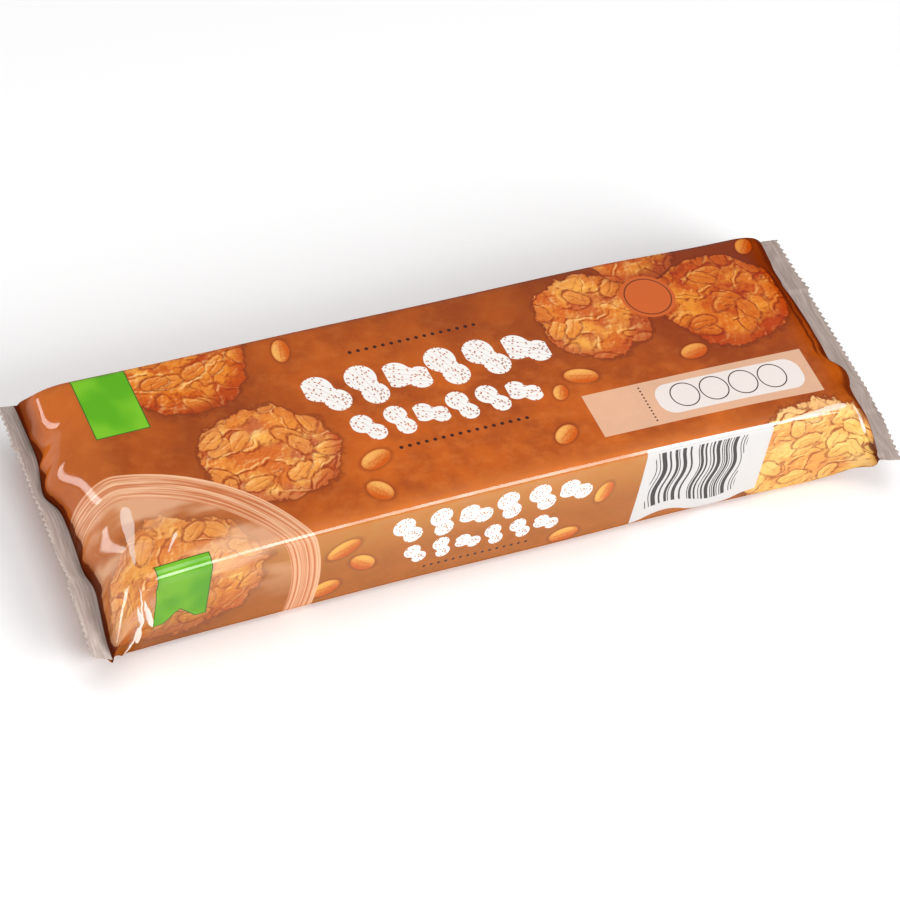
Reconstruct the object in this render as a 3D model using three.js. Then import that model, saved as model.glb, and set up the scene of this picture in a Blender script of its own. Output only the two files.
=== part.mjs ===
// Flow-wrapped cookie pack: one tube of film round a long block, pressed flat into a crimped fin at each end.
// Millimetres, +X along the pack, +Y to the far side, +Z up, bottom centre of the box at the origin.
import * as THREE from 'three';
import { ParametricGeometry } from 'three/addons/geometries/ParametricGeometry.js';
import { mergeVertices } from 'three/addons/utils/BufferGeometryUtils.js';

// Block under the film
const packWidth = 77;
const packHeight = 34.5;
const edgeRadius = 3;

// Slack of the film: bow of the near top edge, bulge of the sides, spread and sag towards the ends,
// swelling of the side film where the slope squeezes it
const nearBow = 2.6;
const sideBulge = 0.4;
const nearSpread = 1.2;
const cornerSag = 1.6;
const nearSquash = 4.0;
const farSquash = 2.2;

// Underside: two flat rails carry the pack, the middle is lifted and holds the folded back seam
const railInner = 24;
const bellyRise = 1.3;
const seamWidth = 12;
const seamRelief = 0.8;

// Fins: half length from the middle, a little more on the near side, half of the welded thickness
const finHalf = 48;
const nearFinExtra = 1.0;
const filmHalf = 0.4;
const ribHeight = 0.16;
const toothDepth = 1.0;

// Sampling round the girth, for one quarter of the tube
const topSteps = 28;
const arcSteps = 4;
const sideSteps = 7;
const quarter = topSteps + arcSteps + sideSteps;
const girthSteps = 4 * quarter;

// Sampling along the length
const finSteps = 6;
const slopeSteps = 8;
const bodySteps = 9;
const lengthSteps = 2 * (finSteps + slopeSteps) + bodySteps;

// The two ends differ as they do on the real pack: where the slope starts, how it falls, how the fin lies.
// A corner value is the place across the fin where the block's long edge arrives. A flat changes how straight
// the slope runs there, a puff pushes the root of the fin outwards, a pleat steps its cut edge, a crease
// dents the slope.
const leftEnd = {
  side: -1,
  slopeStart: 112.5,
  root: 125.2,
  outer: 132.0,
  outerLean: -0.052,
  outerCurve: 0.0004,
  nearReach: 3.6,
  nearOuter: 0,
  topFall: 0.42,
  bottomFall: 0.2,
  rootHeight: 14.7,
  rootLean: 0.013,
  outerHeight: 17.0,
  outerTilt: -0.016,
  cornerNear: 39.5,
  cornerFar: 38,
  roundOut: 0.9,
  straight: 0.4,
  flats: [{ at: 42, width: 14, more: -0.4 }],
  puffs: [
    { at: 12.5, farWidth: 9, nearWidth: 4.5, reach: 2.9 },
    { at: -18, farWidth: 12, nearWidth: 4, reach: 1.2 },
  ],
  pleats: [
    { at: 30, step: 0.9 },
    { at: -21, step: -0.8 },
  ],
  creases: [
    { at: 27, width: 5, depth: 1.1 },
    { at: -6, width: 7, depth: 1.0 },
    { at: -24, width: 6, depth: 1.2 },
  ],
};
const rightEnd = {
  side: 1,
  slopeStart: 104,
  root: 122.3,
  outer: 135.1,
  outerLean: 0.024,
  outerCurve: 0,
  nearReach: 0.3,
  nearOuter: -2.4,
  topFall: 0.67,
  bottomFall: 0.2,
  rootHeight: 16.6,
  rootLean: -0.028,
  outerHeight: 14.5,
  outerTilt: -0.015,
  cornerNear: 37.5,
  cornerFar: 38,
  roundOut: 0.7,
  straight: 0,
  flats: [],
  puffs: [
    { at: 21.5, farWidth: 24, nearWidth: 3.3, reach: 1.15 },
    { at: -19, farWidth: 3, nearWidth: 5.8, reach: 3.7 },
    { at: 47.5, farWidth: 12, nearWidth: 12, reach: 2.75 },
  ],
  pleats: [
    { at: 24, step: 0.9 },
    { at: -29, step: -0.8 },
  ],
  creases: [
    { at: 22, width: 6, depth: 1.1 },
    { at: -18, width: 7, depth: 1.2 },
  ],
};

function clamp01(value) {
  return Math.min(1, Math.max(0, value));
}

function easeStep(edge0, edge1, value) {
  const t = clamp01((value - edge0) / (edge1 - edge0));
  return t * t * (3 - 2 * t);
}

function bump(value, centre, width) {
  const t = (value - centre) / width;
  return Math.exp(-t * t);
}

// Point of the plain block section for a sample of one quarter, counted from the middle of the top
function quarterPoint(index) {
  const flat = packWidth / 2 - edgeRadius;
  if (index <= topSteps) {
    return { y: (flat * index) / topSteps, drop: 0 };
  }
  if (index <= topSteps + arcSteps) {
    const angle = ((index - topSteps) / arcSteps) * (Math.PI / 2);
    return {
      y: flat + edgeRadius * Math.sin(angle),
      drop: edgeRadius * (1 - Math.cos(angle)),
    };
  }
  const along = (index - topSteps - arcSteps) / sideSteps;
  return { y: packWidth / 2, drop: edgeRadius + along * (packHeight / 2 - edgeRadius) };
}

// Sample of the whole girth: 0 is the middle of the top, then the far side, the underside, the near side
function girthSample(index) {
  const half = 2 * quarter;
  const sign = index <= half ? 1 : -1;
  const folded = index <= half ? index : girthSteps - index;
  const isTop = folded <= quarter;
  const fromMiddle = isTop ? folded : half - folded;
  const base = quarterPoint(fromMiddle);
  const z = isTop ? packHeight - base.drop : base.drop;
  return {
    y: sign * base.y,
    z: z,
    sign: sign,
    isTop: isTop,
    fromMiddle: fromMiddle,
    edge: fromMiddle / quarter,
  };
}

// Lift of the underside between the rails, less the folded seam strip
function bellyLift(sample) {
  if (sample.isTop) {
    return 0;
  }
  const rise = bellyRise * (1 - easeStep(railInner - 4, railInner, Math.abs(sample.y)));
  const seam = sample.y > 0.5 && sample.y < seamWidth + 0.5 ? seamRelief : 0;
  return rise - seam;
}

// Block section at a place along the pack, with the film's slack in it
function blockPoint(sample, x) {
  const along = clamp01(1 - (x / 115) ** 2);
  const farness = sample.y / packWidth + 0.5;
  const bow = nearBow * (1 - farness) * along;
  const sag = cornerSag * easeStep(60, 108, x) * easeStep(8, 38, sample.y);
  let z = sample.z + ((bow - sag) * sample.z) / packHeight;
  z += bellyLift(sample);
  let y = sample.y;
  if (sample.fromMiddle > topSteps) {
    y += sample.sign * sideBulge * along * Math.sin((Math.PI * sample.z) / packHeight);
  }
  if (sample.sign < 0) {
    y -= nearSpread * clamp01(Math.abs(x) / 115) ** 4 * clamp01(Math.abs(sample.y) / 38);
  }
  return { y: y, z: z };
}

// Reach of the fin's root and of its cut edge, measured out from the middle of the pack
function rootReach(end, y) {
  let reach = end.root + end.nearReach * easeStep(-20, -48, y);
  for (const puff of end.puffs) {
    const width = y > puff.at ? puff.farWidth : puff.nearWidth;
    reach += puff.reach * bump(y, puff.at, width);
  }
  return reach;
}

function outerReach(end, y) {
  let reach = end.outer + end.outerLean * y + end.outerCurve * y * y;
  reach += end.nearOuter * easeStep(-25, -48, y);
  for (const pleat of end.pleats) {
    const gap = y - pleat.at;
    if (gap >= 0 && gap < 9) {
      reach += pleat.step * (1 - gap / 9);
    }
  }
  return reach;
}

// Place across the fin where a sample of the girth arrives
function finPlace(end, sample) {
  const half = sample.sign < 0 ? finHalf + nearFinExtra : finHalf;
  const corner = sample.sign < 0 ? end.cornerNear : end.cornerFar;
  const cornerStep = topSteps + arcSteps / 2;
  if (sample.fromMiddle <= cornerStep) {
    return (sample.sign * corner * sample.fromMiddle) / cornerStep;
  }
  const past = (sample.fromMiddle - cornerStep) / (quarter - cornerStep);
  return sample.sign * (corner + (half - corner) * past);
}

// Flat fin: two layers of film that meet at the folded ends and at the saw-toothed cut edge
function finPoint(end, sample, t, row) {
  const y = finPlace(end, sample);
  const rootX = rootReach(end, y);
  const outerX = outerReach(end, y);
  const rootZ = end.rootHeight + end.rootLean * y;
  const outerZ = end.outerHeight + end.outerTilt * y;
  const layer = (sample.isTop ? 1 : -1) * filmHalf * Math.min(1, (1 - sample.edge) * 9);
  const isCut = row === finSteps;
  const isRib = row > 0 && !isCut;
  const rib = isRib ? (row % 2 === 0 ? -ribHeight : ribHeight) : 0;
  const tooth = isCut ? (sample.fromMiddle % 2 === 0 ? toothDepth / 2 : -toothDepth / 2) : 0;
  return {
    x: end.side * (rootX + (outerX - rootX) * t + tooth),
    y: y,
    z: rootZ + (outerZ - rootZ) * t + rib + (isCut ? 0 : layer),
  };
}

// Slope from the block down (or up, on the underside) to the root of the fin
function slopePoint(end, sample, t) {
  const angle = (t * Math.PI) / 2;
  const fall = sample.isTop ? end.topFall : end.bottomFall;
  const across = clamp01((quarter - sample.fromMiddle) / (quarter - topSteps));
  const finY = finPlace(end, sample);
  // On top the film runs a little straighter into the fin than it does below
  let amount = end.straight;
  for (const flat of end.flats) {
    amount += flat.more * bump(finY, flat.at, flat.width);
  }
  const straight = amount * easeStep(0, 1, 0.5 + (sample.isTop ? 0.5 : -0.5) * across);
  const roundKeep = Math.max(0, Math.cos(angle)) ** fall;
  const keep = roundKeep + (1 - t * t * (3 - 2 * t) - roundKeep) * straight;
  const roundOut = Math.sin(angle) ** end.roundOut;
  const out = roundOut + (t - roundOut) * straight;
  const rootX = rootReach(end, finY);
  let x = end.slopeStart + (rootX - end.slopeStart) * out;
  const block = blockPoint(sample, end.side * x);
  const root = finPoint(end, sample, 0, 0);
  const flare = (1 - Math.max(0, Math.cos(angle)) ** 0.7) ** 0.45;
  let y = block.y + (finY - block.y) * flare;
  const z = block.z * keep + root.z * (1 - keep);
  // The side film is squeezed between the edge and the fold, so it swells outwards
  if (sample.fromMiddle > topSteps) {
    const squash = sample.sign < 0 ? nearSquash : farSquash;
    y += sample.sign * squash * Math.sin(Math.PI * across) * 4 * keep * (1 - keep);
  }
  if (sample.isTop) {
    const mid = Math.sin(Math.PI * t) * clamp01((1 - sample.edge) * 4);
    for (const crease of end.creases) {
      x -= crease.depth * mid * bump(y, crease.at, crease.width);
    }
  }
  return { x: end.side * x, y: y, z: z };
}

// Row of the mesh along the pack: fin, slope, block, slope, fin
function filmPoint(row, index) {
  const sample = girthSample(index % girthSteps);
  const end = row < lengthSteps / 2 ? leftEnd : rightEnd;
  const fromEnd = row < lengthSteps / 2 ? row : lengthSteps - row;
  if (fromEnd <= finSteps) {
    const finRow = finSteps - fromEnd;
    return finPoint(end, sample, finRow / finSteps, finRow);
  }
  if (fromEnd < finSteps + slopeSteps) {
    return slopePoint(end, sample, (finSteps + slopeSteps - fromEnd) / slopeSteps);
  }
  const first = finSteps + slopeSteps;
  const t = (row - first) / bodySteps;
  const x = -leftEnd.slopeStart + t * (leftEnd.slopeStart + rightEnd.slopeStart);
  const block = blockPoint(sample, x);
  return { x: x, y: block.y, z: block.z };
}

function filmGeometry() {
  const place = (u, v, target) => {
    const index = girthSteps - Math.round(u * girthSteps);
    const row = Math.round(v * lengthSteps);
    const point = filmPoint(row, index);
    target.set(point.x, point.y, point.z);
  };
  const sheet = new ParametricGeometry(place, girthSteps, lengthSteps);
  sheet.deleteAttribute('normal');
  sheet.deleteAttribute('uv');
  const closed = mergeVertices(sheet, 1e-4);
  // Centre the outline over the origin and stand the rails on the ground
  closed.computeBoundingBox();
  const box = closed.boundingBox;
  closed.translate(-(box.min.x + box.max.x) / 2, -(box.min.y + box.max.y) / 2, -box.min.z);
  closed.computeVertexNormals();
  return closed;
}

const film = new THREE.MeshStandardMaterial({ color: 0xc06a35, roughness: 0.32, metalness: 0.0 });
const pack = new THREE.Mesh(filmGeometry(), film);
pack.name = 'cookie_pack';

const part = new THREE.Group();
part.name = 'wrapped_cookie_pack';
part.add(pack);

export default part;
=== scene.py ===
import math
import random

import bpy
import numpy as np
from mathutils import Matrix, Vector


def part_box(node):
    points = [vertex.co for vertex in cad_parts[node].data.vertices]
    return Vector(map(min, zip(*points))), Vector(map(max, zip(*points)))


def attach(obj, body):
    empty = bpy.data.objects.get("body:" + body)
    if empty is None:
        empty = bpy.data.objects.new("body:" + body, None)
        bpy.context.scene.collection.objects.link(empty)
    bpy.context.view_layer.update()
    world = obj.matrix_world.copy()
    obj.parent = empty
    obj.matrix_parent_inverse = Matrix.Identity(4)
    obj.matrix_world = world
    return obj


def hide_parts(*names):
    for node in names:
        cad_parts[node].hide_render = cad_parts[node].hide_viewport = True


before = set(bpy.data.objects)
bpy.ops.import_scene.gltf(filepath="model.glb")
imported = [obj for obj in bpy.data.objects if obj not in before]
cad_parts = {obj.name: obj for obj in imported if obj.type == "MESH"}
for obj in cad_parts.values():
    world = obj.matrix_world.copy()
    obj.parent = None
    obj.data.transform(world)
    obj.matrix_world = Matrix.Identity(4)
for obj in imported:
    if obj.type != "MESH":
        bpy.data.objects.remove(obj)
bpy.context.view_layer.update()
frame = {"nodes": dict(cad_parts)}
print("frame loaded:", ", ".join(frame["nodes"]))


# The film, in millimetres. Length runs along X, the girth is counted from the middle of the printed face.
film = {
    "width": 77.0,
    "height": 34.5,
    "edgeRadius": 3.0,
    "blockHalf": 115.0,
    "nearBow": 2.6,
    "sideBulge": 0.4,
    "nearSpread": 1.2,
    "cornerSag": 1.6,
    "nearSquash": 4.0,
    "farSquash": 2.2,
    "railInner": 24.0,
    "railSlope": 4.0,
    "bellyRise": 1.3,
    "seamStart": 0.5,
    "seamWidth": 12.0,
    "seamRelief": 0.8,
    "finHalf": 48.0,
    "nearFinExtra": 1.0,
    "filmHalf": 0.4,
    "pleatWidth": 9.0,
    "lapHeight": 0.6,
    "lapFade": 3.0,
    "ribHeight": 0.07,
    "ribCount": 6,
    "toothDepth": 1.35,
    "toothPitch": 2.235,
    "toothStart": 0.84,
    "topSteps": 46,
    "arcSteps": 10,
    "sideSteps": 34,
    "finRows": 22,
    "slopeRows": 56,
    "bodyRows": 110,
    "mapSpan": 300.0,
}

# Each end has its own slope, fin and chance folds
leftEnd = {
    "side": -1,
    "slopeStart": 112.5,
    "root": 125.2,
    "outer": 132.0,
    "outerLean": -0.052,
    "outerCurve": 0.0004,
    "nearReach": 3.6,
    "nearOuter": 0.0,
    "topFall": 0.42,
    "bottomFall": 0.2,
    "rootHeight": 14.7,
    "rootLean": 0.013,
    "outerHeight": 17.0,
    "outerTilt": -0.016,
    "cornerNear": 39.5,
    "cornerFar": 38.0,
    "roundOut": 0.9,
    "straight": 0.4,
    "flats": [(42, 14, -0.4)],
    "puffs": [(12.5, 9, 4.5, 2.9), (-18, 12, 4, 1.2)],
    "pleats": [(30, 0.9), (-21, -0.8)],
    "creases": [(27, 5, 1.1), (-6, 7, 1.0), (-24, 6, 1.2)],
}
rightEnd = {
    "side": 1,
    "slopeStart": 104.0,
    "root": 122.3,
    "outer": 135.1,
    "outerLean": 0.024,
    "outerCurve": 0.0,
    "nearReach": 0.3,
    "nearOuter": -2.4,
    "topFall": 0.67,
    "bottomFall": 0.2,
    "rootHeight": 16.6,
    "rootLean": -0.028,
    "outerHeight": 14.5,
    "outerTilt": -0.015,
    "cornerNear": 37.5,
    "cornerFar": 38.0,
    "roundOut": 0.7,
    "straight": 0.0,
    "flats": [],
    "puffs": [(21.5, 24, 3.3, 1.15), (-19, 3, 5.8, 3.7), (47.5, 12, 12, 2.75)],
    "pleats": [(24, 0.9), (-29, -0.8)],
    "creases": [(22, 6, 1.1), (-18, 7, 1.2)],
}

# Folds of the film on the flat sheet: from along, from around, to along, to around, width, height
folds = {
    "lines": [
        (-119.0, -39.0, -122.0, -72.0, 1.5, 1.1),
        (-121.0, -43.0, -118.0, -66.0, 1.5, 1.0),
        (-118.5, -43.0, -113.5, -61.0, 1.5, 1.0),
        (-114.5, -42.0, -107.0, -58.0, 1.6, -0.8),
        (112.0, -38.0, 128.0, -56.0, 1.8, -0.8),
        (108.0, 40.0, 122.0, 60.0, 1.8, -0.8),
    ],
    # soft folds up the slope: side, place round the sheet, width, height, reach back from the fin, slant
    "swells": [
        (-1, 33.0, 3.2, 0.9, 22.0, 0.1),
        (-1, 26.0, 2.2, -1.1, 18.0, 0.15),
        (-1, 20.5, 1.6, 0.7, 14.0, 0.0),
        (-1, 16.5, 1.5, -0.9, 16.0, -0.1),
        (-1, 9.0, 5.0, 0.9, 24.0, 0.1),
        (-1, -10.5, 2.6, -1.2, 18.0, -0.1),
        (-1, -16.0, 3.0, 0.7, 15.0, 0.1),
        (-1, -27.0, 2.4, -0.9, 14.0, 0.0),
        (1, 27.0, 2.4, -0.8, 16.0, 0.0),
        (1, -2.0, 2.6, -0.9, 16.0, 0.2),
        (1, -26.0, 2.2, -0.7, 14.0, 0.0),
    ],
    "seed": 41,
    "gatherCount": 60,
    "gatherHeight": 0.38,
    "gatherSpread": 100.0,
    "gatherWidth": (1.2, 4.2),
    "gatherReach": (5, 17),
    "gatherSlant": 0.35,
    "waveHeight": 0.12,
}


def easeStep(low, high, value):
    t = np.clip((value - low) / (high - low), 0, 1)
    return t * t * (3 - 2 * t)


def bump(value, centre, width):
    return np.exp(-(((value - centre) / width) ** 2))


def girthSamples():
    # one quarter: along the top, round the edge, down to half height; then mirrored round the tube
    topSteps, arcSteps, sideSteps = film["topSteps"], film["arcSteps"], film["sideSteps"]
    perQuarter = topSteps + arcSteps + sideSteps
    flat = film["width"] / 2 - film["edgeRadius"]
    y = []
    drop = []
    reach = []
    for i in range(perQuarter + 1):
        if i <= topSteps:
            y.append(flat * i / topSteps)
            drop.append(0.0)
            reach.append(y[-1])
        elif i <= topSteps + arcSteps:
            angle = (i - topSteps) / arcSteps * math.pi / 2
            y.append(flat + film["edgeRadius"] * math.sin(angle))
            drop.append(film["edgeRadius"] * (1 - math.cos(angle)))
            reach.append(flat + 2 * film["edgeRadius"] * (i - topSteps) / arcSteps)
        else:
            along = (i - topSteps - arcSteps) / sideSteps
            y.append(film["width"] / 2)
            drop.append(film["edgeRadius"] + along * (film["height"] / 2 - film["edgeRadius"]))
            reach.append(y[-1] + drop[-1])
    y = np.array(y)
    drop = np.array(drop)
    reach = np.array(reach)
    index = np.arange(4 * perQuarter + 1)
    half = 2 * perQuarter
    sign = np.where(index <= half, 1.0, -1.0)
    folded = np.where(index <= half, index, 4 * perQuarter - index)
    onTop = folded <= perQuarter
    fromMiddle = np.where(onTop, folded, half - folded)
    return {
        "y": sign * y[fromMiddle],
        "z": np.where(onTop, film["height"] - drop[fromMiddle], drop[fromMiddle]),
        "sheetG": sign * np.where(onTop, reach[fromMiddle], 2 * reach[perQuarter] - reach[fromMiddle]),
        "sign": sign,
        "onTop": onTop,
        "onSide": fromMiddle > topSteps,
        "across": np.clip((perQuarter - fromMiddle) / (perQuarter - topSteps), 0, 1),
        "edge": fromMiddle / perQuarter,
        "corner": (topSteps + arcSteps / 2) / perQuarter,
    }


def blockPoint(g, x):
    # the top is bowed up along its near edge and sags at its far right corner
    along = np.clip(1 - (x / film["blockHalf"]) ** 2, 0, 1)
    farness = g["y"] / film["width"] + 0.5
    bow = film["nearBow"] * (1 - farness) * along
    sag = film["cornerSag"] * easeStep(60, 108, x) * easeStep(8, 38, g["y"])
    z = g["z"] + (bow - sag) * g["z"] / film["height"]
    # underneath, a rail along each edge bears the pack, and the folded seam lies in the raised middle
    railInner = film["railInner"]
    rise = film["bellyRise"] * (1 - easeStep(railInner - film["railSlope"], railInner, np.abs(g["y"])))
    seam = (g["y"] > film["seamStart"]) & (g["y"] < film["seamWidth"] + film["seamStart"])
    z = z + np.where(g["onTop"], 0, rise - film["seamRelief"] * seam)
    bulge = film["sideBulge"] * along * np.sin(math.pi * g["z"] / film["height"])
    y = g["y"] + g["sign"] * g["onSide"] * bulge
    # the near edge spreads a little towards both ends
    endShare = np.clip(np.abs(x) / film["blockHalf"], 0, 1) ** 4
    spread = film["nearSpread"] * endShare * np.clip(np.abs(g["y"]) / 38, 0, 1)
    return np.where(g["sign"] < 0, y - spread, y), z


def finPlace(end, g):
    # how far across the fin the film arrives: the block's edges hardly change their place on the way
    nearHalf = film["finHalf"] + film["nearFinExtra"]
    near = np.interp(g["edge"], (0, g["corner"], 1), (0, end["cornerNear"], nearHalf))
    far = np.interp(g["edge"], (0, g["corner"], 1), (0, end["cornerFar"], film["finHalf"]))
    return np.where(g["sign"] < 0, -near, far)


def rootReach(end, y):
    reach = end["root"] + end["nearReach"] * easeStep(20, 48, -y)
    for at, farWidth, nearWidth, out in end["puffs"]:
        reach = reach + out * bump(y, at, np.where(y > at, farWidth, nearWidth))
    return reach


def outerReach(end, y):
    reach = end["outer"] + end["outerLean"] * y + end["outerCurve"] * y * y
    reach = reach + end["nearOuter"] * easeStep(25, 48, -y)
    for at, step in end["pleats"]:
        part = (y - at) / film["pleatWidth"]
        reach = reach + np.where((part >= 0) & (part < 1), step * (1 - part), 0)
    return reach


def finPoint(end, g, t, isCut):
    y = finPlace(end, g)
    rootX = rootReach(end, y)
    outerX = outerReach(end, y)
    rootZ = end["rootHeight"] + end["rootLean"] * y
    outerZ = end["outerHeight"] + end["outerTilt"] * y
    layer = np.where(g["onTop"], 1, -1) * film["filmHalf"] * np.minimum(1, (1 - g["edge"]) * 9)
    rib = film["ribHeight"] * math.sin(2 * math.pi * film["ribCount"] * t) if 0 < t < 1 else 0
    # saw teeth grow over the last stretch before the cut
    phase = np.abs(y) / film["toothPitch"] % 1
    ragged = 0.75 + 0.25 * np.sin(y * 0.7 + end["side"]) * np.sin(y * 0.23)
    saw = np.where(phase < 1 / 3, 3 * phase, 1.5 * (1 - phase)) - 0.5
    grown = max(0, (t - film["toothStart"]) / (1 - film["toothStart"]))
    tooth = film["toothDepth"] * ragged * saw * grown
    x = end["side"] * (rootX + (outerX - rootX) * t + tooth)
    # a small overlap lies across the fin at each pleat
    lap = 0
    for at, _ in end["pleats"]:
        past = np.maximum(y - at, 0)
        lap = lap + film["lapHeight"] * np.exp(-past / film["lapFade"]) * np.minimum(1, past / 0.4)
    z = rootZ + (outerZ - rootZ) * t + rib + lap * min(1, t * 3)
    return x, y, z if isCut else z + layer


def slopePoint(end, g, t):
    angle = t * math.pi / 2
    finY = finPlace(end, g)
    fallen = max(0.0, math.cos(angle))
    # on top the film runs straighter into the fin than it does below
    straight = end["straight"] + sum(more * bump(finY, at, width) for at, width, more in end["flats"])
    straight = straight * easeStep(0, 1, 0.5 + np.where(g["onTop"], 0.5, -0.5) * g["across"])
    keep = np.where(g["onTop"], fallen ** end["topFall"], fallen ** end["bottomFall"])
    keep = keep + ((1 - t * t * (3 - 2 * t)) - keep) * straight
    out = math.sin(angle) ** end["roundOut"]
    out = out + (t - out) * straight
    rootX = rootReach(end, finY)
    x = end["slopeStart"] + (rootX - end["slopeStart"]) * out
    blockY, blockZ = blockPoint(g, end["side"] * x)
    rootZ = finPoint(end, g, 0, False)[2]
    flare = (1 - fallen ** 0.7) ** 0.45
    y = blockY + (finY - blockY) * flare
    z = blockZ * keep + rootZ * (1 - keep)
    # the side film is squeezed between the edge and the fold, so it swells outwards
    squash = np.where(g["sign"] < 0, film["nearSquash"], film["farSquash"])
    y = y + g["sign"] * g["onSide"] * squash * np.sin(math.pi * g["across"]) * 4 * keep * (1 - keep)
    mid = math.sin(math.pi * t) * np.clip((1 - g["edge"]) * 4, 0, 1) * g["onTop"]
    for at, width, depth in end["creases"]:
        x = x - depth * mid * bump(y, at, width)
    return end["side"] * x, y, z


def wrapPoints():
    # rows of the film from the left cut edge to the right one
    g = girthSamples()
    rows = []
    finRows, slopeRows, bodyRows = film["finRows"], film["slopeRows"], film["bodyRows"]
    for i in range(finRows, -1, -1):
        rows.append(finPoint(leftEnd, g, i / finRows, i == finRows))
    for i in range(slopeRows - 1, 0, -1):
        rows.append(slopePoint(leftEnd, g, i / slopeRows))
    for i in range(bodyRows + 1):
        x = -leftEnd["slopeStart"] + (leftEnd["slopeStart"] + rightEnd["slopeStart"]) * i / bodyRows
        xs = np.full_like(g["y"], x)
        y, z = blockPoint(g, xs)
        rows.append((xs, y, z))
    for i in range(1, slopeRows):
        rows.append(slopePoint(rightEnd, g, i / slopeRows))
    for i in range(finRows + 1):
        rows.append(finPoint(rightEnd, g, i / finRows, i == finRows))
    return np.array([[np.broadcast_to(c, g["y"].shape) for c in row] for row in rows]).transpose(0, 2, 1)


def sheetPlaces(points):
    # where each point lies on the flat sheet: along it, round it, and how far past the fin's root
    finRows, slopeRows, bodyRows = film["finRows"], film["slopeRows"], film["bodyRows"]
    steps = np.linalg.norm(np.diff(points, axis=0), axis=2)
    first = finRows + slopeRows
    last = first + bodyRows
    along = np.empty(points.shape[:2])
    along[first:last + 1] = points[first:last + 1, :, 0]
    for row in range(first - 1, -1, -1):
        along[row] = along[row + 1] - steps[row]
    for row in range(last + 1, len(points)):
        along[row] = along[row - 1] + steps[row - 1]
    finWay = np.maximum(along - along[last + slopeRows], along[finRows] - along)
    around = np.broadcast_to(girthSamples()["sheetG"], along.shape)
    return along, around, finWay


def sheetNormals(points):
    alongStep = np.gradient(points, axis=0)
    ring = np.concatenate([points[:, -2:-1], points, points[:, 1:2]], axis=1)
    aroundStep = (ring[:, 2:] - ring[:, :-2]) / 2
    normal = np.cross(alongStep, aroundStep)
    return normal / np.maximum(np.linalg.norm(normal, axis=2, keepdims=True), 1e-9)


def creaseField(along, around, finWay):
    # folds pressed into the film where it is gathered: straight lines on the sheet, sharp or soft
    lift = np.zeros_like(along)
    for startS, startG, stopS, stopG, width, height in folds["lines"]:
        lineS, lineG = stopS - startS, stopG - startG
        span = lineS * lineS + lineG * lineG
        part = np.clip(((along - startS) * lineS + (around - startG) * lineG) / span, 0, 1)
        gap = np.hypot(along - startS - part * lineS, around - startG - part * lineG)
        fade = np.sin(math.pi * np.clip(part, 0.06, 0.94)) ** 0.5
        lift += height * fade * np.clip(1 - gap / width, 0, 1) ** 1.4
    # gathers: short ridges that run up the slope from the fin
    back = -finWay
    spread, slope = folds["gatherSpread"], folds["gatherSlant"]
    draw = random.Random(folds["seed"])
    for side in (-1, 1):
        here = (along * side > 0) & (back > 0)
        for _ in range(folds["gatherCount"]):
            at = draw.uniform(-spread, spread)
            width = draw.uniform(*folds["gatherWidth"])
            reach = draw.uniform(*folds["gatherReach"])
            height = draw.uniform(-1, 1) * folds["gatherHeight"] * min(1, width / 2.5)
            slant = draw.uniform(-slope, slope)
            profile = bump(around + slant * back, at, width)
            rise = np.clip(back / 2.5, 0, 1) * np.clip(1 - back / reach, 0, 1) ** 1.3
            lift += np.where(here, height * profile * rise, 0)
    for side, at, width, height, reach, slant in folds["swells"]:
        here = (along * side > 0) & (back > 0)
        rise = np.clip(back / 3, 0, 1) * easeStep(0, 1, 1 - back / reach)
        lift += np.where(here, height * bump(around + slant * back, at, width) * rise, 0)
    # slow waves of the loose film over the block
    sway = along * 0.071 + 1.3 * np.sin(around * 0.05)
    waves = folds["waveHeight"] * np.sin(sway) * np.sin(around * 0.083 + 0.8)
    return lift + waves * np.clip(back / 14, 0, 1)


def deselectAll():
    if bpy.context.object and bpy.context.object.mode != "OBJECT":
        bpy.ops.object.mode_set(mode="OBJECT")
    bpy.ops.object.select_all(action="DESELECT")


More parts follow.
